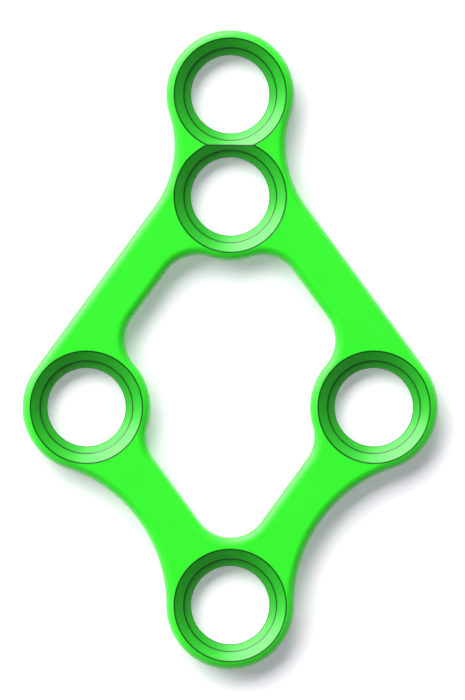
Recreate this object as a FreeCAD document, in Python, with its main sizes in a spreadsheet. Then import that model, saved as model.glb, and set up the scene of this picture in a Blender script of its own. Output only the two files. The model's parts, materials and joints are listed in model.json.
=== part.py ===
"""Rhombic five-hole bone plate: one flat piece of titanium sheet, held by small screws with sunk heads.

The plate lies in the XY plane, bone side on Z = 0 and screw side up. Its length runs along Y, with the close
pair of holes at the +Y end, and the origin is on the bone side under the middle of its length and width.

Five round eyes carry the holes: the top and the upper one in a pair, one at each side, and the lower one.
Two straight upper struts and two hollow-sided lower struts join them round an open window. Every arc of both
outlines runs tangent into its neighbours.

Each hole has, from the screw side down, a wide seat cone for the screw's head, a low ledge, a narrow throat cone
of the same slope and a round bore. The seats of the pair cut into each other, which leaves a straight ridge
between them.
"""

import FreeCAD, Part
import math
import os
import Sketcher

from dataclasses import dataclass
from FreeCAD import Vector

# Name, millimetres and meaning of each size that can be set by itself.
SIZES = (
    ("plate_thickness", 1.0, "bone side to screw side"),
    ("bore_diameter", 2.45, "round bore that the screw's thread passes"),
    ("throat_width", 0.225, "throat cone, seen from above"),
    ("ledge_height", 0.06, "upright ledge between the seat cone and the throat cone"),
    ("seat_width", 0.30, "seat cone, seen from above"),
    ("seat_depth", 0.25, "seat cone, down the hole, which also sets the throat's slope"),
    ("rim_width", 0.25, "mouth of a seat to the outline of its eye"),
    ("pair_pitch", 3.2, "top hole to upper hole"),
    ("upper_to_side", 6.6, "upper hole to the line through the side holes"),
    ("side_to_lower", 6.2, "line through the side holes to the lower hole"),
    ("side_spacing", 9.0, "side hole to side hole"),
    ("waist_radius", 3.25, "hollow of the outline beside the pair"),
    ("flank_radius", 4.5, "hollow of the outline between side and lower eye"),
    ("strut_width", 1.5, "upper strut, and lower strut at its narrowest"),
    ("corner_radius", 1.2, "inner corners of the window"),
    ("top_edge_radius", 0.28, "rounding along both outlines on the screw side"),
    ("bottom_edge_radius", 0.10, "rounding along both outlines on the bone side"),
    ("bore_edge_break", 0.05, "chamfer of the bores on the bone side"),
)

# The same sizes as terms of expressions, in the order in which they build on each other.
BORE_RADIUS = "Sizes.bore_diameter / 2"
STEP_RADIUS = f"({BORE_RADIUS} + Sizes.throat_width)"
MOUTH_RADIUS = f"({STEP_RADIUS} + Sizes.seat_width)"
EYE_RADIUS = f"({MOUTH_RADIUS} + Sizes.rim_width)"
HALF_SPAN = "(Sizes.pair_pitch + Sizes.upper_to_side + Sizes.side_to_lower) / 2"

# Points of a sketch's geometry, and the sketch's own origin and upright axis.
START, END, CENTRE = 1, 2, 3
ORIGIN = (-1, START)
UPRIGHT = -2

UP = Vector(0, 0, 1)
FLAT_STEP = 1e-6


@dataclass(frozen=True)
class Bend:
    """One arc of an outline, followed with the plate or the window on the left.

    Args:
        name: what the arc is called.
        centre: where it turns about.
        radius: how far its centre lies to the left of the way, so a right-hand bend has it below zero.
    """

    name: str
    centre: Vector
    radius: float

    def across(self):
        """The same bend on the other half of the plate."""
        name = self.name.replace("left", "right")
        return Bend(name, Vector(-self.centre.x, self.centre.y), self.radius)


def both_halves(first, down_the_left, last=None):
    """All bends of a closed outline, from those on its middle and those down its left half."""
    up_the_right = [bend.across() for bend in reversed(down_the_left)]
    return [first, *down_the_left, *([last] if last else []), *up_the_right]


def make_sheet(doc):
    """Writes the sizes into the spreadsheet, each in a cell that carries its name."""
    sheet = doc.addObject("Spreadsheet::Sheet", "Sizes")
    for row, (name, millimetres, meaning) in enumerate(SIZES, start=1):
        sheet.set(f"A{row}", name)
        sheet.set(f"B{row}", str(millimetres))
        sheet.set(f"C{row}", meaning)
        sheet.setAlias(f"B{row}", name)
    doc.recompute()
    return sheet


def hole_centres(sheet):
    """Centre of each hole, by name."""
    half_span = (sheet.pair_pitch + sheet.upper_to_side + sheet.side_to_lower) / 2
    side_level = sheet.side_to_lower - half_span
    return {
        "top": Vector(0, half_span),
        "upper": Vector(0, half_span - sheet.pair_pitch),
        "left": Vector(-sheet.side_spacing / 2, side_level),
        "right": Vector(sheet.side_spacing / 2, side_level),
        "lower": Vector(0, -half_span),
    }


def eye_radius(sheet):
    """Radius of the outline round a hole."""
    return sheet.bore_diameter / 2 + sheet.throat_width + sheet.seat_width + sheet.rim_width


def outer_bends(sheet):
    """Bends of the outer outline, with its hollows tangent to the eyes on both sides of them."""
    holes = hole_centres(sheet)
    eye = eye_radius(sheet)
    top, upper, left, lower = (holes[name] for name in ("top", "upper", "left", "lower"))

    half_pitch = sheet.pair_pitch / 2
    waist = (top + upper) / 2 - Vector(math.sqrt((eye + sheet.waist_radius) ** 2 - half_pitch**2))

    middle, half_chord = (left + lower) / 2, (lower - left) / 2
    outward = UP.cross(half_chord).normalize() * -1
    reach = math.sqrt((eye + sheet.flank_radius) ** 2 - half_chord.Length**2)

    return both_halves(
        Bend("top eye", top, eye),
        [
            Bend("left waist", waist, -sheet.waist_radius),
            Bend("left eye", left, eye),
            Bend("left flank", middle + outward * reach, -sheet.flank_radius),
        ],
        Bend("lower eye", lower, eye),
    )


def beside_eye(eye_centre, distance, line_point, line_direction):
    """Point of a line at a distance from an eye's centre, on the side that the line runs to."""
    foot = line_point + line_direction * (eye_centre - line_point).dot(line_direction)
    run = math.sqrt(distance**2 - foot.distanceToPoint(eye_centre) ** 2)
    return foot + line_direction * run


def window_bends(sheet, outer):
    """Bends of the window, whose corners lie between the eyes and lines beside the struts."""
    holes = hole_centres(sheet)
    eye, corner = eye_radius(sheet), sheet.corner_radius
    by_name = {bend.name: bend for bend in outer}
    inset = sheet.strut_width + corner

    strut = tangent_line(by_name["left waist"], by_name["left eye"])
    down_strut = (strut[1] - strut[0]).normalize()
    strut_inset = strut[0] + UP.cross(down_strut) * inset

    flank = by_name["left flank"]
    down_flank = (holes["lower"] - holes["left"]).normalize()
    flank_inset = flank.centre + UP.cross(down_flank) * (sheet.flank_radius + inset)

    reach = eye + corner
    foot = flank_inset + down_flank * (-flank_inset.x / down_flank.x)
    return both_halves(
        Bend("upper eye", holes["upper"], -eye),
        [
            Bend("left pair corner", beside_eye(holes["upper"], reach, strut_inset, down_strut), corner),
            Bend("left shoulder", beside_eye(holes["left"], reach, strut_inset, -down_strut), corner),
            Bend("left inner eye", holes["left"], -eye),
            Bend("left hip", beside_eye(holes["left"], reach, flank_inset, down_flank), corner),
        ],
        Bend("foot", foot, corner),
    )


def tangent_line(bend, following):
    """Both ends of the straight way from one bend to the next, which fall together where the bends touch."""
    way = following.centre - bend.centre
    offset = following.radius - bend.radius
    run = math.sqrt(max(way.Length**2 - offset**2, 0.0))
    forward = (way * run + UP.cross(way) * -offset) / way.Length**2
    left = UP.cross(forward)
    return bend.centre - left * bend.radius, following.centre - left * following.radius


def draw_outline(sketch, bends):
    """Draws a closed outline of arcs, and of straight lines where two arcs don't touch.

    Returns:
        The number of each piece of geometry by name. A line is called after the two bends that it joins.
    """
    joins = [tangent_line(bend, bends[(i + 1) % len(bends)]) for i, bend in enumerate(bends)]
    drawn, chain = {}, []
    for i, bend in enumerate(bends):
        entry, (leave, arrive) = joins[i - 1][1], joins[i]
        leftwards = bend.radius > 0
        first, last = (entry, leave) if leftwards else (leave, entry)
        drawn[bend.name] = sketch.addGeometry(arc(bend.centre, first, last))
        chain.append((drawn[bend.name], START, END) if leftwards else (drawn[bend.name], END, START))
        if leave.distanceToPoint(arrive) > FLAT_STEP:
            name = f"{bend.name} to {bends[(i + 1) % len(bends)].name}"
            drawn[name] = sketch.addGeometry(Part.LineSegment(leave, arrive))
            chain.append((drawn[name], START, END))
    for (here, _, leaves), (there, enters, _) in zip(chain, chain[1:] + chain[:1]):
        sketch.addConstraint(Sketcher.Constraint("Tangent", here, leaves, there, enters))
    return drawn


def arc(centre, first, last):
    """Arc about a centre, anticlockwise from its first point to its last."""
    start, end = (math.atan2(p.y - centre.y, p.x - centre.x) for p in (first, last))
    if end < start:
        end += 2 * math.pi
    return Part.ArcOfCircle(Part.Circle(centre, UP, centre.distanceToPoint(first)), start, end)


def bind(sketch, name, expression, kind, *geometry):
    """Adds a constraint that has a value, and binds the value to the sizes."""
    value = float(sketch.evalExpression(expression))
    number = sketch.addConstraint(Sketcher.Constraint(kind, *geometry, value))
    sketch.renameConstraint(number, name)
    sketch.setExpression(f"Constraints.{name}", expression)


def hold_hole_centres(sketch, top, upper, left, right, lower):
    """Holds five points of a sketch at the centres of the holes."""
    for point in (top, upper, lower):
        sketch.addConstraint(Sketcher.Constraint("PointOnObject", *point, UPRIGHT))
    sketch.addConstraint(Sketcher.Constraint("Symmetric", *left, *right, UPRIGHT))
    bind(sketch, "top_reach", HALF_SPAN, "DistanceY", *ORIGIN, *top)
    bind(sketch, "lower_reach", HALF_SPAN, "DistanceY", *lower, *ORIGIN)
    bind(sketch, "pair_pitch", "Sizes.pair_pitch", "DistanceY", *upper, *top)
    bind(sketch, "side_level", "Sizes.side_to_lower", "DistanceY", *lower, *left)
    bind(sketch, "side_spacing", "Sizes.side_spacing", "DistanceX", *left, *right)


def hold_outer_outline(sketch, drawn):
    """Ties the outer outline's bends to the sizes."""
    waists = (drawn["left waist"], drawn["right waist"])
    flanks = (drawn["left flank"], drawn["right flank"])
    bind(sketch, "eye_radius", EYE_RADIUS, "Radius", drawn["top eye"])
    for name in ("left eye", "right eye", "lower eye"):
        sketch.addConstraint(Sketcher.Constraint("Equal", drawn["top eye"], drawn[name]))
    bind(sketch, "waist_radius", "Sizes.waist_radius", "Radius", waists[0])
    bind(sketch, "flank_radius", "Sizes.flank_radius", "Radius", flanks[0])
    for pair in (waists, flanks):
        sketch.addConstraint(Sketcher.Constraint("Equal", *pair))
    for side, waist in zip(("left", "right"), waists):
        top = (drawn["top eye"], CENTRE)
        bind(sketch, f"{side}_waist_level", "Sizes.pair_pitch / 2", "DistanceY", waist, CENTRE, *top)


def hold_window(sketch, drawn):
    """Ties the window's bends to the eyes, the struts and the sizes."""
    for inner, outer in (("left inner eye", "left eye"), ("right inner eye", "right eye")):
        sketch.addConstraint(Sketcher.Constraint("Coincident", drawn[inner], CENTRE, drawn[outer], CENTRE))
        sketch.addConstraint(Sketcher.Constraint("Equal", drawn[inner], drawn[outer]))
    sketch.addConstraint(Sketcher.Constraint("Equal", drawn["upper eye"], drawn["top eye"]))

    bind(sketch, "corner_radius", "Sizes.corner_radius", "Radius", drawn["foot"])
    for side in ("left", "right"):
        for corner in ("pair corner", "shoulder", "hip"):
            sketch.addConstraint(Sketcher.Constraint("Equal", drawn["foot"], drawn[f"{side} {corner}"]))

    struts = {
        "left": (drawn["left waist to left eye"], drawn["left pair corner to left shoulder"]),
        "right": (drawn["right eye to right waist"], drawn["right shoulder to right pair corner"]),
    }
    lower_lines = {"left": drawn["left hip to foot"], "right": drawn["foot to right hip"]}
    lower_width = "Sizes.flank_radius + Sizes.strut_width"
    for side, (outside, inside) in struts.items():
        sketch.addConstraint(Sketcher.Constraint("Parallel", outside, inside))
        bind(sketch, f"{side}_strut", "Sizes.strut_width", "Distance", inside, START, outside)

        chord = sketch.addGeometry(Part.LineSegment(*chord_ends(sketch, drawn, side)), True)
        for end, eye in ((START, f"{side} eye"), (END, "lower eye")):
            sketch.addConstraint(Sketcher.Constraint("Coincident", chord, end, drawn[eye], CENTRE))
        sketch.addConstraint(Sketcher.Constraint("Parallel", chord, lower_lines[side]))
        flank = (drawn[f"{side} flank"], CENTRE)
        bind(sketch, f"{side}_lower_strut", lower_width, "Distance", *flank, lower_lines[side])


def chord_ends(sketch, drawn, side):
    """Centres of a side eye and of the lower eye."""
    return (sketch.getPoint(drawn[name], CENTRE) for name in (f"{side} eye", "lower eye"))


def new_sketch(body, name):
    """An empty sketch on the body's own XY plane."""
    sketch = body.newObject("Sketcher::SketchObject", name)
    plane = next(part for part in body.Origin.OriginFeatures if part.Role == "XY_Plane")
    sketch.AttachmentSupport = [(plane, "")]
    sketch.MapMode = "FlatFace"
    return sketch


def add_blank(body, sheet):
    """The plate without its holes: both outlines in one sketch, raised to the sheet's thickness."""
    outlines = new_sketch(body, "outlines")
    outer = outer_bends(sheet)
    drawn = draw_outline(outlines, outer)
    drawn.update(draw_outline(outlines, window_bends(sheet, outer)))
    eyes = ("top eye", "upper eye", "left eye", "right eye", "lower eye")
    hold_hole_centres(outlines, *((drawn[name], CENTRE) for name in eyes))
    hold_outer_outline(outlines, drawn)
    hold_window(outlines, drawn)

    blank = body.newObject("PartDesign::Pad", "blank")
    blank.Profile = outlines
    blank.setExpression("Length", "Sizes.plate_thickness")
    body.Document.recompute()
    return blank


def names_of(shape, kind, test):
    """Names of a shape's edges or faces that pass a test."""
    members = getattr(shape, f"{kind}s")
    return [f"{kind}{number}" for number, member in enumerate(members, start=1) if test(member)]


def round_outlines(body, base, name, size, level):
    """Rounds both outlines where they meet the flat side at a level."""
    flat_side = names_of(base.Shape, "Face", lambda face: is_flat_at(face, level))
    rounded = body.newObject("PartDesign::Fillet", name)
    rounded.Base = (base, flat_side)
    rounded.setExpression("Radius", size)
    body.Document.recompute()
    return rounded


def is_flat_at(item, level):
    """Whether an edge or a face lies level, at that height."""
    box = item.BoundBox
    return abs(box.ZMin - level) < FLAT_STEP and abs(box.ZMax - level) < FLAT_STEP


def add_hole_centres(body, sheet):
    """Sketch on the screw side with a circle at each hole's place."""
    centres = new_sketch(body, "hole_centres")
    centres.setExpression("AttachmentOffset.Base.z", "Sizes.plate_thickness")
    circles = {
        name: centres.addGeometry(Part.Circle(centre, UP, sheet.bore_diameter / 2))
        for name, centre in hole_centres(sheet).items()
    }
    order = ("top", "upper", "left", "right", "lower")
    hold_hole_centres(centres, *((circles[name], CENTRE) for name in order))
    bind(centres, "bore_radius", BORE_RADIUS, "Radius", circles["top"])
    for name in order[1:]:
        centres.addConstraint(Sketcher.Constraint("Equal", circles["top"], circles[name]))
    body.Document.recompute()
    return centres


def countersink(body, centres, name, kind, radius):
    """Cuts the bores, with a widening of that kind and radius that ends in a cone of the seats' slope."""
    holes = body.newObject("PartDesign::Hole", name)
    holes.Profile = centres
    body.Document.recompute()
    holes.DepthType = "ThroughAll"
    holes.HoleCutType = kind
    holes.HoleCutCustomValues = True
    holes.setExpression("Diameter", "Sizes.bore_diameter")
    holes.setExpression("HoleCutDiameter", f"2 * ({radius})")
    holes.setExpression("HoleCutCountersinkAngle", "2 * atan(Sizes.seat_width / Sizes.seat_depth)")
    return holes


def cut_holes(body, sheet):
    """Cuts the stepped holes: first the bores, throats and ledges, then the wider seats over them."""
    centres = add_hole_centres(body, sheet)
    throats = countersink(body, centres, "bores_and_throats", "Counterdrill", STEP_RADIUS)
    throats.setExpression("HoleCutDepth", "Sizes.seat_depth + Sizes.ledge_height")
    body.Document.recompute()
    seats = countersink(body, centres, "seats", "Countersink", MOUTH_RADIUS)
    body.Document.recompute()
    return seats


def break_bores(body, base, sheet):
    """Chamfers the bores where they come out on the bone side."""
    radius = sheet.bore_diameter / 2

    def is_bore_rim(edge):
        return is_flat_at(edge, 0) and abs(getattr(edge.Curve, "Radius", 0) - radius) < FLAT_STEP

    broken = body.newObject("PartDesign::Chamfer", "bore_breaks")
    broken.Base = (base, names_of(base.Shape, "Edge", is_bore_rim))
    broken.setExpression("Size", "Sizes.bore_edge_break")
    body.Document.recompute()
    return broken


def make_bone_plate(doc, sheet):
    """The whole plate as one body."""
    body = doc.addObject("PartDesign::Body", "bone_plate")
    body.Label = "bone_plate"
    blank = add_blank(body, sheet)
    shape = round_outlines(body, blank, "screw_side_rounding", "Sizes.top_edge_radius", sheet.plate_thickness)
    shape = round_outlines(body, shape, "bone_side_rounding", "Sizes.bottom_edge_radius", 0)
    seats = cut_holes(body, sheet)
    break_bores(body, seats, sheet)
    return body


def check(doc, body):
    """Stops with a message if a feature failed, left the solid as it was, or made it unsound."""
    for item in doc.Objects:
        if {"Invalid", "Error"} & set(item.State):
            raise RuntimeError(f"{item.Name} failed: {item.State}")
    volumes = [feature.Shape.Volume for feature in body.Group if feature.isDerivedFrom("PartDesign::Feature")]
    if not all(after < before for before, after in zip(volumes, volumes[1:])):
        raise RuntimeError(f"a feature that should take material away left it there: {volumes}")
    shape = body.Shape
    if shape.isNull() or not shape.isValid() or len(shape.Solids) != 1:
        raise RuntimeError(f"{body.Label} is not one sound solid")


def main():
    """Builds the plate and writes it as a STEP file."""
    doc = FreeCAD.newDocument("bone_plate")
    body = make_bone_plate(doc, make_sheet(doc))
    doc.recompute()
    check(doc, body)
    os.makedirs("parts", exist_ok=True)
    body.Shape.exportStep(f"parts/{body.Label}.step")
    plate = body.Shape.Solids[0]
    box = plate.optimalBoundingBox(False)
    print(f"{body.Label}: {box.XLength:.3f} x {box.YLength:.3f} x {box.ZLength:.3f} mm")
    print(f"volume {plate.Volume:.3f} mm3, centre of mass {tuple(plate.CenterOfMass)}")


main()
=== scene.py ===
"""A small green bone plate on a white floor, seen from straight above.

The plate is one piece of anodised titanium: a rhombic frame round an open window, with five countersunk
screw holes. The classes hold their sizes in millimetres, as a maker's drawing does. A finished mesh is
brought to metres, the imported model's unit, before it rides on the frame.
"""
from __future__ import annotations

import json
import logging
import math
from collections.abc import Callable, Iterator, Sequence
from contextlib import contextmanager
from dataclasses import dataclass, field
from enum import Enum
from functools import reduce

import bpy
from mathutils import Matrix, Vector


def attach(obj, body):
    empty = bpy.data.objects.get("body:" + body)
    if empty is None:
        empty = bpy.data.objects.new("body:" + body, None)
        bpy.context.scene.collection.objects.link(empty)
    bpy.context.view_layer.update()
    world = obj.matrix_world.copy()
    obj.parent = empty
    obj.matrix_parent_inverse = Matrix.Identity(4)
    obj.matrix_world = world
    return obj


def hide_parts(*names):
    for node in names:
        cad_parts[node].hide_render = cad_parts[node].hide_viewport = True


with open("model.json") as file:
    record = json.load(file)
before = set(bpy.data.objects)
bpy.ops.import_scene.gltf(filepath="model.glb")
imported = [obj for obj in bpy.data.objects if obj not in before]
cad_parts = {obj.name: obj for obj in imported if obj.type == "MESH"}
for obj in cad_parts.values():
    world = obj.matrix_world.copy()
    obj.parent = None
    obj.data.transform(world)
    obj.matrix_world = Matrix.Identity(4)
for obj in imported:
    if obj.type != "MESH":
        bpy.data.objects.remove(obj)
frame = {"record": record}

log = logging.getLogger("bone_plate")

MM = 0.001
UP = Vector((0, 0, 1))

# Lengths in millimetres. Points nearer than the first are merged, points nearer than the second to a height
# are at it, and a cutter stands out of the metal by the third.
WELD = 2e-4
SAME_HEIGHT = 2e-5
ROOM = 0.3

# A face is level where its normal's upright share is above the first. Most of a noise lies in the second.
LEVEL_NORMAL = 0.9999
NOISE_SPAN = (0.3, 0.7)

Colour = tuple[float, float, float]
Span = tuple[float, float]
Pair = tuple[float, float]
Profile = list[Pair]
Socket = bpy.types.NodeSocket
Inputs = dict[int | str, object]
Test = Callable[[bpy.types.MeshVertex | bpy.types.MeshPolygon], bool]


class Part(Enum):
    """What a selection in edit mode is made of."""

    POINTS = "VERT"
    FACES = "FACE"


def select_only(pieces: Sequence[bpy.types.Object]) -> None:
    """Selects the given pieces and nothing else, and makes the first one active.

    Args:
        pieces: Objects to select.
    """
    bpy.ops.object.select_all(action="DESELECT")
    for piece in pieces:
        piece.select_set(True)
    bpy.context.view_layer.objects.active = pieces[0]


@contextmanager
def editing(piece: bpy.types.Object, part: Part = Part.POINTS, test: Test | None = None) -> Iterator[None]:
    """Opens a piece in edit mode for the length of a with block.

    Args:
        piece: Object to edit.
        part: Kind of element that is selected.
        test: Says whether one vertex or polygon is selected. Without it, all of them are.
    """
    select_only([piece])
    bpy.ops.object.mode_set(mode="EDIT")
    bpy.ops.mesh.select_mode(type=part.value)
    bpy.ops.mesh.select_all(action="DESELECT" if test else "SELECT")
    if test:
        bpy.ops.object.mode_set(mode="OBJECT")
        for element in piece.data.vertices if part is Part.POINTS else piece.data.polygons:
            element.select = test(element)
        bpy.ops.object.mode_set(mode="EDIT")
    yield
    bpy.ops.object.mode_set(mode="OBJECT")


def at_heights(*heights: float) -> Test:
    """Makes the test that picks the points at some heights.

    Args:
        *heights: The heights.

    Returns:
        The test.
    """
    return lambda point: min(abs(point.co.z - height) for height in heights) < SAME_HEIGHT


def lone_point(place: Vector, size: float = 0.01) -> bpy.types.Object:
    """Adds a small square and merges it to one point.

    Args:
        place: Where the point lies.
        size: Side of the square.

    Returns:
        The object that holds the point.
    """
    bpy.ops.object.select_all(action="DESELECT")
    bpy.ops.mesh.primitive_plane_add(size=size, location=place)
    bpy.ops.object.transform_apply(location=True, rotation=True, scale=True)
    point = bpy.context.object
    with editing(point):
        bpy.ops.mesh.merge(type="CENTER")
    return point


def weld(threshold: float = WELD / 2) -> None:
    """Merges the doubles of the piece that is open in edit mode.

    Args:
        threshold: Distance within which two points are one.
    """
    bpy.ops.mesh.select_all(action="SELECT")
    bpy.ops.mesh.remove_doubles(threshold=threshold)


def apply_modifier(piece: bpy.types.Object, kind: str, **settings: object) -> None:
    """Adds a modifier to a piece, sets it up and applies it.

    Args:
        piece: Object to change.
        kind: Blender's name for the modifier's type.
        **settings: Values of the modifier's properties.
    """
    select_only([piece])
    modifier = piece.modifiers.new(kind.lower(), kind)
    for name, value in settings.items():
        setattr(modifier, name, value)
    bpy.ops.object.modifier_apply(modifier=modifier.name)


def cut(piece: bpy.types.Object, cutter: bpy.types.Object) -> None:
    """Takes the space of a cutter out of a piece, and removes the cutter.

    Args:
        piece: Object to cut.
        cutter: Closed object that fills the space to take away.
    """
    apply_modifier(piece, "BOOLEAN", object=cutter, operation="DIFFERENCE", solver="EXACT")
    bpy.data.objects.remove(cutter)


def quarter_round(radius: float, rows: int) -> Profile:
    """Works out the rounding between a flat face and a wall.

    Args:
        radius: Radius of the rounding.
        rows: How many facets it has.

    Returns:
        Pairs of the distance in from the wall and the distance down from the flat, from the flat to the wall.
    """
    turns = (math.pi / 2 * row / rows for row in range(rows + 1))
    return [(radius * (1 - math.sin(turn)), radius * (1 - math.cos(turn))) for turn in turns]


@dataclass(frozen=True)
class Bend:
    """One arc of an outline.

    Its radius is positive where the outline bulges, and negative where it is hollow.
    """

    centre: Vector
    radius: float

    def mirrored(self) -> Bend:
        """Returns the same bend on the other side of the plate's long axis."""
        return Bend(Vector((-self.centre.x, self.centre.y, 0)), self.radius)

    def grown(self, margin: float) -> Bend:
        """Returns the bend of an outline that lies a margin further out."""
        return Bend(self.centre, self.radius + margin)

    def join(self, other: Bend) -> tuple[Vector, Vector]:
        """Finds the straight line that runs on smoothly from this bend into the next one.

        It has no length where the two touch.

        Args:
            other: The bend that follows.

        Returns:
            Where the line leaves this bend, and where it reaches the other.
        """
        way = other.centre - self.centre
        spread = other.radius - self.radius
        reach = way.length_squared - spread**2
        run = math.sqrt(reach) if reach > WELD else 0
        forward = (way * run - UP.cross(way) * spread) / way.length_squared
        side = UP.cross(forward)
        return self.centre - side * self.radius, other.centre - side * other.radius


@dataclass(frozen=True)
class Outline:
    """A closed line of arcs that run smoothly into each other, with a straight stretch where two don't touch.

    An arc's facets are a chord long at most. The slack, a share of one facet, keeps rounding errors from
    adding a facet at one margin and not at another.
    """

    bends: tuple[Bend, ...]
    chord: float = 0.08
    slack: float = 1e-3

    def joins(self, margin: float = 0) -> list[tuple[Vector, Vector]]:
        """Finds every stretch between two bends.

        Args:
            margin: How far out from the outline itself.

        Returns:
            The two ends of each stretch, in the bends' order.
        """
        grown = [bend.grown(margin) for bend in self.bends]
        return [bend.join(after) for bend, after in zip(grown, grown[1:] + grown[:1])]

    def trace(self, margin: float, height: float) -> bpy.types.Object:
        """Draws the outline as a loop of edges by spinning and extruding one point.

        Args:
            margin: How far out from the outline itself the loop lies.
            height: Height of the loop.

        Returns:
            The loop. It has the same number of points at every margin, so loops can be bridged.
        """
        lift = UP * height
        here = self.joins(margin)[-1][1]
        loop = lone_point(here + lift)
        with editing(loop):
            for bend, plain, (leave, arrive) in zip(self.bends, self.joins(), self.joins(margin)):
                turn = (leave - bend.centre).xy.angle_signed((here - bend.centre).xy)
                if turn * bend.radius < 0:
                    turn += math.copysign(2 * math.pi, bend.radius)
                steps = max(2, math.ceil(abs(turn * bend.radius) / self.chord - self.slack))
                # The turn is counted counterclockwise, and the operator counts the other way.
                bpy.ops.mesh.spin(steps=steps, angle=-turn, center=bend.centre + lift, axis=UP)
                if (plain[1] - plain[0]).length > WELD:
                    bpy.ops.mesh.extrude_vertices_move(TRANSFORM_OT_translate={"value": arrive - leave})
                here = arrive
            weld()
        return loop

    def loft(self, name: str, rows: Profile) -> bpy.types.Object:
        """Bridges loops of the outline to a closed body.

        Args:
            name: Name of the body.
            rows: Margin and height of each loop, from the lowest to the highest.

        Returns:
            The body, with flat ends.
        """
        loops = [self.trace(margin, height) for margin, height in rows]
        select_only(loops)
        bpy.ops.object.join()
        body = bpy.context.object
        body.name = name
        for (_, low), (_, high) in zip(rows, rows[1:]):
            with editing(body, test=at_heights(low, high)):
                bpy.ops.mesh.bridge_edge_loops()
        for _, end in (rows[0], rows[-1]):
            with editing(body, test=at_heights(end)):
                bpy.ops.mesh.edge_face_add()
        with editing(body):
            bpy.ops.mesh.normals_make_consistent(inside=False)
        return body


@dataclass(frozen=True)
class ScrewHole:
    """A hole for a sunk screw: a bore for the thread, a throat cone, an upright ledge and a seat cone."""

    bore_radius: float = 1.225
    throat_width: float = 0.225
    ledge_height: float = 0.06
    seat_width: float = 0.30
    seat_depth: float = 0.25
    mouth_break: float = 0.018
    throat_break: float = 0.03
    break_facets: int = 4
    foot_break: float = 0.05
    overrun: float = 0.03
    segments: int = 160

    @property
    def step_radius(self) -> float:
        """Radius of the ledge between the throat and the seat."""
        return self.bore_radius + self.throat_width

    @property
    def throat_depth(self) -> float:
        """Depth of the throat cone, which has the seat's slope."""
        return self.throat_width * self.seat_depth / self.seat_width

    @property
    def mouth_radius(self) -> float:
        """Radius of the hole at the plate's top face."""
        return self.step_radius + self.seat_width

    def edge_rings(self, thickness: float) -> tuple[Pair, ...]:
        """Lists the sharp edges of the screw side: mouth, ledge, and throat to bore.

        Args:
            thickness: Thickness of the plate.

        Returns:
            Each edge's radius and its height over the bone side.
        """
        seat_foot = thickness - self.seat_depth
        ledge_foot = seat_foot - self.ledge_height
        return (
            (self.mouth_radius, thickness),
            (self.step_radius, seat_foot),
            (self.step_radius, ledge_foot),
            (self.bore_radius, ledge_foot - self.throat_depth),
        )

    def rounded_corner(self, before: Vector, corner: Vector, after: Vector, reach: float) -> list[Vector]:
        """Rounds one corner of the cutter's profile.

        Args:
            before: Point of the profile before the corner.
            corner: The corner.
            after: Point of the profile after the corner.
            reach: How far from the corner the rounding starts.

        Returns:
            The points that take the corner's place.
        """
        start = corner + (before - corner).normalized() * reach
        end = corner + (after - corner).normalized() * reach
        shares = [facet / self.break_facets for facet in range(self.break_facets + 1)]
        return [start.lerp(corner, share).lerp(corner.lerp(end, share), share) for share in shares]

    def profile(self, thickness: float) -> list[Vector]:
        """Draws half of the hole's section, from above the plate down to below it.

        Args:
            thickness: Thickness of the plate.

        Returns:
            Points in the XZ plane, the first and the last on the hole's axis.
        """
        seat_end = Vector((self.step_radius, 0, thickness - self.seat_depth))
        mouth = Vector((self.mouth_radius, 0, thickness))
        throat_start = seat_end - UP * self.ledge_height
        throat_end = Vector((self.bore_radius, 0, throat_start.z - self.throat_depth))
        foot = Vector((self.bore_radius, 0, self.foot_break))
        level = mouth + Vector((ROOM, 0, 0))
        brim = self.rounded_corner(level, mouth, seat_end, self.mouth_break)
        # The brim's first facet runs on past the plate's face, so that the two cross and don't just touch.
        flare = brim[0] + (brim[0] - brim[1]).normalized() * self.overrun
        return [
            Vector((0, 0, thickness + ROOM)),
            Vector((flare.x, 0, thickness + ROOM)),
            flare,
            *brim[1:],
            seat_end,
            throat_start,
            *self.rounded_corner(throat_start, throat_end, foot, self.throat_break),
            foot,
            foot + Vector((foot.z + ROOM, 0, -foot.z - ROOM)),
            Vector((0, 0, -ROOM)),
        ]

    def model_cutter(self, thickness: float) -> bpy.types.Object:
        """Turns the hole's section into the body that cuts it.

        Args:
            thickness: Thickness of the plate.

        Returns:
            A closed body round the Z axis.
        """
        section = self.profile(thickness)
        cutter = lone_point(section[0])
        with editing(cutter):
            for here, there in zip(section, section[1:]):
                bpy.ops.mesh.extrude_vertices_move(TRANSFORM_OT_translate={"value": there - here})
            bpy.ops.mesh.select_all(action="SELECT")
            bpy.ops.mesh.spin(steps=self.segments, angle=2 * math.pi, center=(0, 0, 0), axis=UP)
            weld()
            bpy.ops.mesh.normals_make_consistent(inside=False)
        return cutter


@dataclass(frozen=True)
class HolePlan:
    """Where the five holes' axes stand, in millimetres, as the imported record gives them."""

    top: Vector
    upper: Vector
    left: Vector
    right: Vector
    lower: Vector

    @classmethod
    def of_record(cls, record: dict) -> HolePlan:
        """Reads the holes' places.

        Args:
            record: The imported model's record.

        Returns:
            The plan of the holes.
        """
        places = {mount["name"]: mount["pos_m"] for mount in record["mounts"]}
        names = ("top", "upper", "left", "right", "lower")
        return cls(*(Vector((*places[f"{name}_screw_hole"][:2], 0)) / MM for name in names))

    @property
    def all(self) -> tuple[Vector, ...]:
        """All five axes, from the top of the plate to its lower end."""
        return self.top, self.upper, self.left, self.right, self.lower


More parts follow.
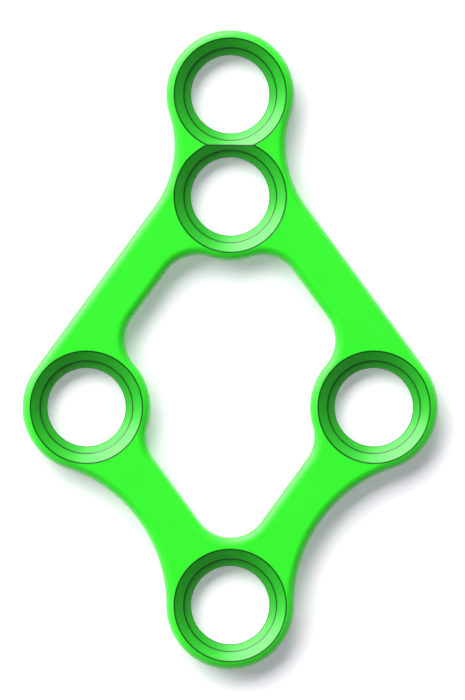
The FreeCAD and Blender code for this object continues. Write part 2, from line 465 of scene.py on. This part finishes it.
class NodeBench:
    """Puts together the shader nodes of one material or world."""

    def __init__(self, owner: bpy.types.Material | bpy.types.World) -> None:
        """Clears the owner's nodes.

        Args:
            owner: Material or world to work on.
        """
        owner.use_nodes = True
        self.tree = owner.node_tree
        self.tree.nodes.clear()

    def add(self, kind: str, inputs: Inputs | None = None, **settings: object) -> bpy.types.Node:
        """Adds one node and fills its sockets.

        Args:
            kind: Blender's name for the node, without its ShaderNode.
            inputs: A value or an output socket for each input, by name or place.
            **settings: Values of the node's own properties.

        Returns:
            The node.
        """
        node = self.tree.nodes.new("ShaderNode" + kind)
        for name, value in settings.items():
            setattr(node, name, value)
        for key, value in (inputs or {}).items():
            if isinstance(value, Socket):
                self.tree.links.new(value, node.inputs[key])
            else:
                node.inputs[key].default_value = value
        return node

    def work_out(self, operation: str, *terms: object) -> Socket:
        """Adds a Math node.

        Args:
            operation: What the node works out.
            *terms: Its values or output sockets.

        Returns:
            Its result.
        """
        return self.add("Math", dict(enumerate(terms)), operation=operation).outputs[0]

    def spread(self, value: Socket, span: Span, onto: Span) -> Socket:
        """Carries a value from one span onto another, and holds it there.

        Args:
            value: The value.
            span: Its two ends.
            onto: What they become.

        Returns:
            The new value.
        """
        return self.add("MapRange", {0: value, 1: span[0], 2: span[1], 3: onto[0], 4: onto[1]}).outputs[0]

    def noise(self, place: Socket, size: float, detail: float) -> Socket:
        """Adds a noise.

        Args:
            place: The place on the piece, in metres.
            size: Size of its spots, in millimetres.
            detail: How many finer noises lie in it.

        Returns:
            Its value, round a half.
        """
        return self.add("TexNoise", {"Vector": place, "Scale": 1 / (size * MM), "Detail": detail}).outputs[0]

    def mix(self, share: Socket, first: Socket | Colour, second: Colour) -> Socket:
        """Mixes two colours.

        Args:
            share: How much of the second there is.
            first: One colour.
            second: The other.

        Returns:
            The mixed colour.
        """
        start = first if isinstance(first, Socket) else (*first, 1)
        ends = {"Factor": share, "A": start, "B": (*second, 1)}
        return self.add("Mix", ends, data_type="RGBA").outputs["Result"]

    def nearest(self, place: Socket, marks: Sequence[Vector]) -> Socket:
        """Measures how far a place is from the nearest of some points.

        Args:
            place: The place.
            marks: The points.

        Returns:
            The distance.
        """
        rulers = [self.add("VectorMath", {0: place, 1: mark}, operation="DISTANCE") for mark in marks]
        gaps = [ruler.outputs["Value"] for ruler in rulers]
        return reduce(lambda near, gap: self.work_out("MINIMUM", near, gap), gaps)

    def on_show(self) -> Socket:
        """Tells the rays that show the set, directly, in a gloss or through glass, from those that light it.

        Returns:
            1 for a ray that shows it and 0 for the others.
        """
        rays = self.add("LightPath").outputs
        seen = self.work_out("MAXIMUM", rays["Is Camera Ray"], rays["Is Glossy Ray"])
        return self.work_out("MAXIMUM", seen, rays["Is Transmission Ray"])


@dataclass(frozen=True)
class AnodisedSatin:
    """Titanium that is tumbled to a fine satin and then anodised green.

    The colour is a matt one under the gloss of the oxide film. Along the sharp edges of the holes a dark line
    of painted shade is mixed in, where the green turns deep.
    """

    axes: tuple[Vector, ...]
    edge_rings: tuple[Pair, ...]
    name: str = "anodised_satin"
    colour: Colour = (0.038, 1.0, 0.027)
    deeper_colour: Colour = (0.037, 0.975, 0.028)
    # Painted shade: the deep green of the dark line along the holes' sharp edges.
    painted_edge_shade_colour: Colour = (0.004, 0.06, 0.007)
    painted_edge_shade_reach: float = 0.034
    roughness: float = 0.40
    roughness_drift: float = 0.04
    film_roughness: float = 0.46
    film_index: float = 1.9
    cloud: float = 2.6
    cloud_detail: float = 2.0
    cloud_span: Span = (0.35, 0.75)
    grain: float = 0.045
    grain_detail: float = 3.0
    grain_height: float = 0.0006

    def off_axis(self, bench: NodeBench, place: Socket) -> Socket:
        """Measures how far a place is from the nearest hole's axis.

        Args:
            bench: Where the nodes are put together.
            place: The place on the piece, in metres.

        Returns:
            The distance in metres.
        """
        level = bench.add("VectorMath", {0: place, 1: (1, 1, 0)}, operation="MULTIPLY").outputs[0]
        return bench.nearest(level, [axis * MM for axis in self.axes])

    def edge_gap(self, bench: NodeBench, place: Socket) -> Socket:
        """Measures how far a place is from the nearest sharp edge of a hole.

        Args:
            bench: Where the nodes are put together.
            place: The place on the piece, in metres.

        Returns:
            The distance in metres.
        """
        height = bench.add("SeparateXYZ", {0: place}).outputs["Z"]
        beside = bench.add("CombineXYZ", {"X": self.off_axis(bench, place), "Z": height}).outputs[0]
        return bench.nearest(beside, [Vector((radius, 0, level)) * MM for radius, level in self.edge_rings])

    def skin(self, bench: NodeBench, place: Socket) -> tuple[Socket, Socket]:
        """Makes the relief of the surface and the drift of its gloss.

        Args:
            bench: Where the nodes are put together.
            place: The place on the piece, in metres.

        Returns:
            The height in metres, and a value round zero for the roughness.
        """
        fine = bench.noise(place, self.grain, self.grain_detail)
        height = bench.work_out("MULTIPLY", fine, self.grain_height * MM)
        drift = bench.spread(fine, NOISE_SPAN, (-self.roughness_drift, self.roughness_drift))
        return height, drift

    def make(self) -> bpy.types.Material:
        """Puts the material together.

        Returns:
            The material, driven by Object coordinates.
        """
        material = bpy.data.materials.new(self.name)
        bench = NodeBench(material)
        place = bench.add("TexCoord").outputs["Object"]
        height, drift = self.skin(bench, place)
        clouds = bench.noise(place, self.cloud, self.cloud_detail)
        depth = bench.spread(clouds, self.cloud_span, (0.0, 1.0))
        tint = bench.mix(depth, self.colour, self.deeper_colour)
        # Painted shade: a dark line along the holes' sharp edges and the ledge's crease, and in the seats
        # along the pair's ridge.
        reach = self.painted_edge_shade_reach * MM
        film = bench.spread(self.edge_gap(bench, place), (reach / 2, reach), (1.0, 0.0))
        relief = bench.add("Bump", {"Strength": 1.0, "Distance": 1.0, "Height": height}).outputs[0]
        shader = bench.add(
            "BsdfPrincipled",
            {
                "Base Color": bench.mix(film, tint, self.painted_edge_shade_colour),
                "Roughness": bench.work_out("ADD", drift, self.roughness),
                "Specular IOR Level": 0.0,
                "Normal": relief,
                "Coat Weight": 1.0,
                "Coat Roughness": self.film_roughness,
                "Coat IOR": self.film_index,
                "Coat Normal": relief,
            },
        )
        bench.add("OutputMaterial", {"Surface": shader.outputs[0]})
        return material


@dataclass(frozen=True)
class TurnedSeat(AnodisedSatin):
    """The same metal in the holes, where the countersink's fine turning rings run round each axis. Its green
    is darker than the plate's, painted shade in the holes.
    """

    name: str = "turned_seat"
    # Painted shade: the holes' green is darker than the plate's, so that their walls look more shaded.
    colour: Colour = (0.026, 0.59, 0.023)
    deeper_colour: Colour = (0.024, 0.56, 0.023)
    ring_pitch: float = 0.05
    ring_height: float = 0.0004
    waver_turns: float = 0.35
    waver_size: float = 0.4
    waver_detail: float = 1.0
    ridge_y: float = field(kw_only=True)

    def edge_gap(self, bench: NodeBench, place: Socket) -> Socket:
        """Counts the straight ridge between the pair's seats among the sharp edges that get the painted shade
        line.

        Args:
            bench: Where the nodes are put together.
            place: The place on the piece, in metres.

        Returns:
            The distance in metres.
        """
        along = bench.add("SeparateXYZ", {0: place}).outputs["Y"]
        gap = bench.work_out("ABSOLUTE", bench.work_out("SUBTRACT", along, self.ridge_y * MM))
        return bench.work_out("MINIMUM", super().edge_gap(bench, place), gap)

    def skin(self, bench: NodeBench, place: Socket) -> tuple[Socket, Socket]:
        """Adds the turning rings to the satin.

        Args:
            bench: Where the nodes are put together.
            place: The place on the piece, in metres.

        Returns:
            The height in metres, and a value round zero for the roughness.
        """
        height, drift = super().skin(bench, place)
        phase = bench.work_out("MULTIPLY", self.off_axis(bench, place), 2 * math.pi / (self.ring_pitch * MM))
        waver = bench.noise(place, self.waver_size, self.waver_detail)
        shift = bench.work_out("MULTIPLY", waver, self.waver_turns * 2 * math.pi)
        rings = bench.work_out("SINE", bench.work_out("ADD", phase, shift))
        height = bench.work_out("ADD", height, bench.work_out("MULTIPLY", rings, self.ring_height * MM))
        drift = bench.work_out("ADD", drift, bench.work_out("MULTIPLY", rings, self.roughness_drift / 2))
        return height, drift


@dataclass(frozen=True)
class WhiteCard:
    """The matt white card of the floor, lit from behind a little, so that it stays white round a soft shadow.

    It sends back a little less green, and its own light has less of it, which keeps the shadow grey beside
    the green plate.
    """

    name: str = "white_card"
    white: float = 1.0
    shade: float = 0.99
    fibre: float = 6.0
    fibre_detail: float = 4.0
    glow: float = 0.34
    glow_tint: Colour = (0.92, 0.86, 1.0)
    green_share: float = 0.97

    def make(self) -> bpy.types.Material:
        """Puts the material together.

        Returns:
            The material, driven by Object coordinates.
        """
        material = bpy.data.materials.new(self.name)
        bench = NodeBench(material)
        place = bench.add("TexCoord").outputs["Object"]
        fibres = bench.noise(place, self.fibre, self.fibre_detail)
        value = bench.spread(fibres, NOISE_SPAN, (self.shade, self.white))
        green = bench.work_out("MULTIPLY", value, self.green_share)
        tone = bench.add("CombineColor", {0: value, 1: green, 2: value})
        shader = bench.add(
            "BsdfPrincipled",
            {
                "Base Color": tone.outputs[0],
                "Roughness": 1.0,
                "Specular IOR Level": 0.0,
                "Emission Color": (*self.glow_tint, 1),
                "Emission Strength": bench.work_out("MULTIPLY", bench.on_show(), self.glow),
            },
        )
        bench.add("OutputMaterial", {"Surface": shader.outputs[0]})
        return material


@dataclass(frozen=True)
class BonePlate:
    """The plate: an eye round each hole, struts between the eyes, and the window that they leave open."""

    holes: HolePlan
    hole: ScrewHole = field(default_factory=ScrewHole)
    rim_width: float = 0.25
    waist_radius: float = 3.25
    flank_radius: float = 4.5
    strut_width: float = 1.5
    corner_radius: float = 1.2
    thickness: float = 1.0
    top_round: float = 0.28
    top_rows: int = 10
    bottom_round: float = 0.10
    bottom_rows: int = 8
    flat_slack: float = 0.001
    flat_angle: float = 0.2
    smooth_below: float = 12.0
    normal_weight: int = 80

    @property
    def eye_radius(self) -> float:
        """Radius of the plate's outline round a hole."""
        return self.hole.mouth_radius + self.rim_width

    def both_sides(self, first: Bend, lefts: Sequence[Bend], last: Bend) -> Outline:
        """Closes an outline that is the same left and right of the long axis.

        Args:
            first: The bend on the axis at the top.
            lefts: The bends down the left side.
            last: The bend on the axis at the lower end.

        Returns:
            The whole outline.
        """
        return Outline((first, *lefts, last, *(bend.mirrored() for bend in reversed(lefts))))

    def outer_outline(self) -> Outline:
        """Draws the plate's outer outline.

        Returns:
            The outline, which runs round an eye at each end and each side, with hollow arcs between them.
        """
        holes, eye = self.holes, self.eye_radius
        half_pitch = (holes.top - holes.upper).length / 2
        waist_out = math.sqrt((eye + self.waist_radius) ** 2 - half_pitch**2)
        waist = (holes.top + holes.upper) / 2 - Vector((waist_out, 0, 0))
        half_flank = (holes.lower - holes.left) / 2
        outward = -UP.cross(half_flank).normalized()
        flank_out = math.sqrt((eye + self.flank_radius) ** 2 - half_flank.length_squared)
        flank = (holes.left + holes.lower) / 2 + outward * flank_out
        lefts = [Bend(waist, -self.waist_radius), Bend(holes.left, eye), Bend(flank, -self.flank_radius)]
        return self.both_sides(Bend(holes.top, eye), lefts, Bend(holes.lower, eye))

    def beside_eye(self, eye: Vector, start: Vector, way: Vector) -> Bend:
        """Finds the window's corner that touches an eye from outside, with its centre on a given line.

        Args:
            eye: Centre of the eye.
            start: A point of the line.
            way: The line's direction towards the corner.

        Returns:
            The corner.
        """
        foot = start + way * (eye - start).dot(way)
        reach = self.eye_radius + self.corner_radius
        return Bend(foot + way * math.sqrt(reach**2 - (foot - eye).length_squared), self.corner_radius)

    def window_outline(self) -> Outline:
        """Draws the window, which keeps a strut's width from the plate's sides and goes round the inner eyes.

        Returns:
            The outline.
        """
        holes, inset = self.holes, self.strut_width + self.corner_radius
        outer = self.outer_outline().bends
        leave, arrive = outer[1].join(outer[2])
        side_way = (arrive - leave).normalized()
        side_start = leave + UP.cross(side_way) * inset
        flank_way = (holes.lower - holes.left).normalized()
        flank_start = outer[3].centre + UP.cross(flank_way) * (self.flank_radius + inset)
        foot = flank_start - flank_way * (flank_start.x / flank_way.x)
        lefts = [
            self.beside_eye(holes.upper, side_start, side_way),
            self.beside_eye(holes.left, side_start, -side_way),
            Bend(holes.left, -self.eye_radius),
            self.beside_eye(holes.left, flank_start, flank_way),
        ]
        return self.both_sides(Bend(holes.upper, -self.eye_radius), lefts, Bend(foot, self.corner_radius))

    def edge_rows(self, outward: float) -> Profile:
        """Lists the loops of the plate's edge, from the bone side's flat to the screw side's.

        Args:
            outward: 1 where the metal ends at the outline, -1 where the outline is the window's.

        Returns:
            Margin and height of each loop.
        """
        bottom = quarter_round(self.bottom_round, self.bottom_rows)
        top = quarter_round(self.top_round, self.top_rows)
        below = [(-inset * outward, height) for inset, height in bottom]
        above = [(-inset * outward, self.thickness - depth) for inset, depth in reversed(top)]
        return below + above

    def model_blank(self) -> bpy.types.Object:
        """Models the plate with its window and rounded edges, before the holes.

        Returns:
            The blank.
        """
        blank = self.outer_outline().loft("plate", self.edge_rows(1))
        inner = self.edge_rows(-1)
        through = [(inner[0][0], -ROOM), *inner, (inner[-1][0], self.thickness + ROOM)]
        cut(blank, self.window_outline().loft("window", through))
        return blank

    def machine_holes(self, plate: bpy.types.Object) -> None:
        """Cuts the five holes with copies of one cutter.

        Args:
            plate: The blank.
        """
        master = self.hole.model_cutter(self.thickness)
        for axis in self.holes.all:
            select_only([master])
            bpy.ops.object.duplicate(linked=False)
            copy = bpy.context.object
            bpy.ops.transform.translate(value=axis)
            bpy.ops.object.transform_apply(location=True, rotation=False, scale=False)
            cut(plate, copy)
        bpy.data.objects.remove(master)

    def is_flat(self, face: bpy.types.MeshPolygon) -> bool:
        """Says whether a face lies in one of the two flats."""
        height = face.center.z
        off_flat = min(abs(height), abs(height - self.thickness))
        return abs(face.normal.z) > LEVEL_NORMAL and off_flat < self.flat_slack

    def clean(self, plate: bpy.types.Object) -> None:
        """Removes the slivers that cutting leaves, and makes each flat one face again.

        Args:
            plate: The cut plate.
        """
        with editing(plate):
            weld(WELD)
            bpy.ops.mesh.dissolve_degenerate(threshold=WELD)
        with editing(plate, Part.FACES, self.is_flat):
            bpy.ops.mesh.dissolve_limited(angle_limit=math.radians(self.flat_angle))

    def finish_surface(self, plate: bpy.types.Object) -> None:
        """Brings the plate to metres and smooths its curved faces, but not its creases and flats.

        Args:
            plate: The clean plate.
        """
        select_only([plate])
        bpy.ops.transform.resize(value=(MM, MM, MM), center_override=(0, 0, 0))
        bpy.ops.object.transform_apply(location=True, rotation=True, scale=True)
        bpy.ops.object.shade_smooth_by_angle(angle=math.radians(self.smooth_below))
        apply_modifier(
            plate, "WEIGHTED_NORMAL", mode="FACE_AREA", weight=self.normal_weight, keep_sharp=True
        )

    def is_machined(self, face: bpy.types.MeshPolygon) -> bool:
        """Says whether a face lies in a hole."""
        inside = min(((face.center / MM - axis) * Vector((1, 1, 0))).length for axis in self.holes.all)
        return inside < self.hole.mouth_radius and abs(face.normal.z) < LEVEL_NORMAL

    def dress(self, plate: bpy.types.Object) -> None:
        """Gives the plate its satin skin, and the holes their turned one, whose darker green is painted
        shade.

        Args:
            plate: The modelled plate.
        """
        axes, rings = self.holes.all, self.hole.edge_rings(self.thickness)
        ridge_y = (self.holes.top + self.holes.upper).y / 2
        plate.data.materials.clear()
        plate.data.materials.append(AnodisedSatin(axes, rings).make())
        plate.data.materials.append(TurnedSeat(axes, rings, ridge_y=ridge_y).make())
        with editing(plate, Part.FACES, self.is_machined):
            plate.active_material_index = 1
            bpy.ops.object.material_slot_assign()

    def build(self) -> bpy.types.Object:
        """Models and dresses the plate and puts it in the CAD node's place.

        Returns:
            The plate.
        """
        plate = self.model_blank()
        self.machine_holes(plate)
        self.clean(plate)
        self.finish_surface(plate)
        self.dress(plate)
        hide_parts("bone_plate")
        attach(plate, "root")
        return plate


@dataclass(frozen=True)
class Softbox:
    """A soft lamp that points at the plate.

    Its compass is counted in degrees from the plate's +X, counterclockwise, and its level is its share of
    the light on the floor. One that isn't mirrored lights the plate, but glossy metal doesn't show it, as
    where a photographer turns the highlight away.
    """

    name: str
    elevation: float
    level: float
    width: float
    height: float
    compass: float = 124.0
    distance: float = 1200.0
    mirrored: bool = True

    def hang(self) -> bpy.types.Object:
        """Hangs the lamp in its place.

        Returns:
            The lamp.
        """
        turn, rise = math.radians(self.compass), math.radians(self.elevation)
        way = Vector((math.cos(turn) * math.cos(rise), math.sin(turn) * math.cos(rise), math.sin(rise)))
        lamp = bpy.data.lights.new(self.name, "AREA")
        lamp.shape = "RECTANGLE"
        lamp.size, lamp.size_y = self.width * MM, self.height * MM
        # At this power the lamp alone makes a white floor as bright as its level says, where 1 is white.
        lamp.energy = self.level * (math.pi * self.distance * MM) ** 2 / math.sin(rise)
        holder = bpy.data.objects.new(self.name, lamp)
        holder.location = way * self.distance * MM
        holder.rotation_euler = way.to_track_quat("Z", "Y").to_euler()
        holder.visible_camera = False
        holder.visible_glossy = self.mirrored
        bpy.context.scene.collection.objects.link(holder)
        return holder


@dataclass(frozen=True)
class Studio:
    """A white card floor, soft lamps at the upper left, and a dim room with a low white backdrop."""

    floor_radius: float = 2500.0
    floor_sides: int = 96
    floor_drop: float = 0.01
    room_light: float = 0.03
    backdrop_rise: float = 4.0
    lamps: tuple[Softbox, ...] = (
        Softbox("key", elevation=50.0, level=1.07, width=1500.0, height=640.0, mirrored=False),
        Softbox("low_rim", elevation=12.0, level=0.26, width=1700.0, height=440.0),
    )

    def lay_floor(self) -> bpy.types.Object:
        """Lays the floor just under the plate's bone side.

        Returns:
            The floor.
        """
        bpy.ops.object.select_all(action="DESELECT")
        bpy.ops.mesh.primitive_circle_add(
            vertices=self.floor_sides,
            radius=self.floor_radius * MM,
            fill_type="NGON",
            location=(0, 0, -self.floor_drop * MM),
        )
        floor = bpy.context.object
        floor.name = "floor"
        bpy.ops.object.transform_apply(location=True, rotation=True, scale=True)
        floor.data.materials.append(WhiteCard().make())
        return floor

    def light_room(self) -> None:
        """Gives the room the dim light that fills the shade, and shows white just over the horizon."""
        world = bpy.data.worlds.new("room")
        bpy.context.scene.world = world
        bench = NodeBench(world)
        way = bench.add("TexCoord").outputs["Generated"]
        height = bench.add("SeparateXYZ", {0: way}).outputs["Z"]
        low = bench.work_out("LESS_THAN", height, math.sin(math.radians(self.backdrop_rise)))
        white = bench.work_out("MULTIPLY", bench.on_show(), low)
        strength = bench.work_out("MAXIMUM", white, self.room_light)
        glow = bench.add("Background", {"Color": (1, 1, 1, 1), "Strength": strength})
        bench.add("OutputWorld", {"Surface": glow.outputs[0]})

    def build(self) -> None:
        """Sets the whole studio up."""
        self.lay_floor()
        self.light_room()
        for lamp in self.lamps:
            lamp.hang()


@dataclass(frozen=True)
class OverheadCamera:
    """A long lens that looks straight down, so that the plate shows as it does in a plan.

    The frame's height is measured at the aim's height. The clip range is in metres.
    """

    lens: float = 800.0
    film: float = 36.0
    frame_height: float = 21.91
    aim: Vector = field(default_factory=lambda: Vector((0.072, -0.009, 0.7)))
    clip: Span = (0.01, 20.0)

    def place(self) -> bpy.types.Object:
        """Hangs the camera over the plate and makes it the scene's own.

        Returns:
            The camera.
        """
        camera = bpy.data.cameras.new("overhead_camera")
        camera.lens = self.lens
        camera.sensor_fit = "VERTICAL"
        camera.sensor_height = self.film
        camera.clip_start, camera.clip_end = self.clip
        holder = bpy.data.objects.new("overhead_camera", camera)
        holder.location = (self.aim + UP * self.frame_height * self.lens / self.film) * MM
        bpy.context.scene.collection.objects.link(holder)
        bpy.context.scene.camera = holder
        return holder


def main() -> None:
    """Builds the plate and the studio."""
    logging.basicConfig(level=logging.INFO, format="%(name)s: %(message)s")
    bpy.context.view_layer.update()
    plate = BonePlate(HolePlan.of_record(frame["record"])).build()
    log.info("%s: %d faces", plate.name, len(plate.data.polygons))
    studio = Studio()
    studio.build()
    log.info("studio: %d lamps", len(studio.lamps))
    camera = OverheadCamera().place()
    log.info("%s: %.3f m up", camera.name, camera.location.z)
    bpy.context.scene.view_settings.view_transform = "Standard"


if __name__ == "__main__":
    main()
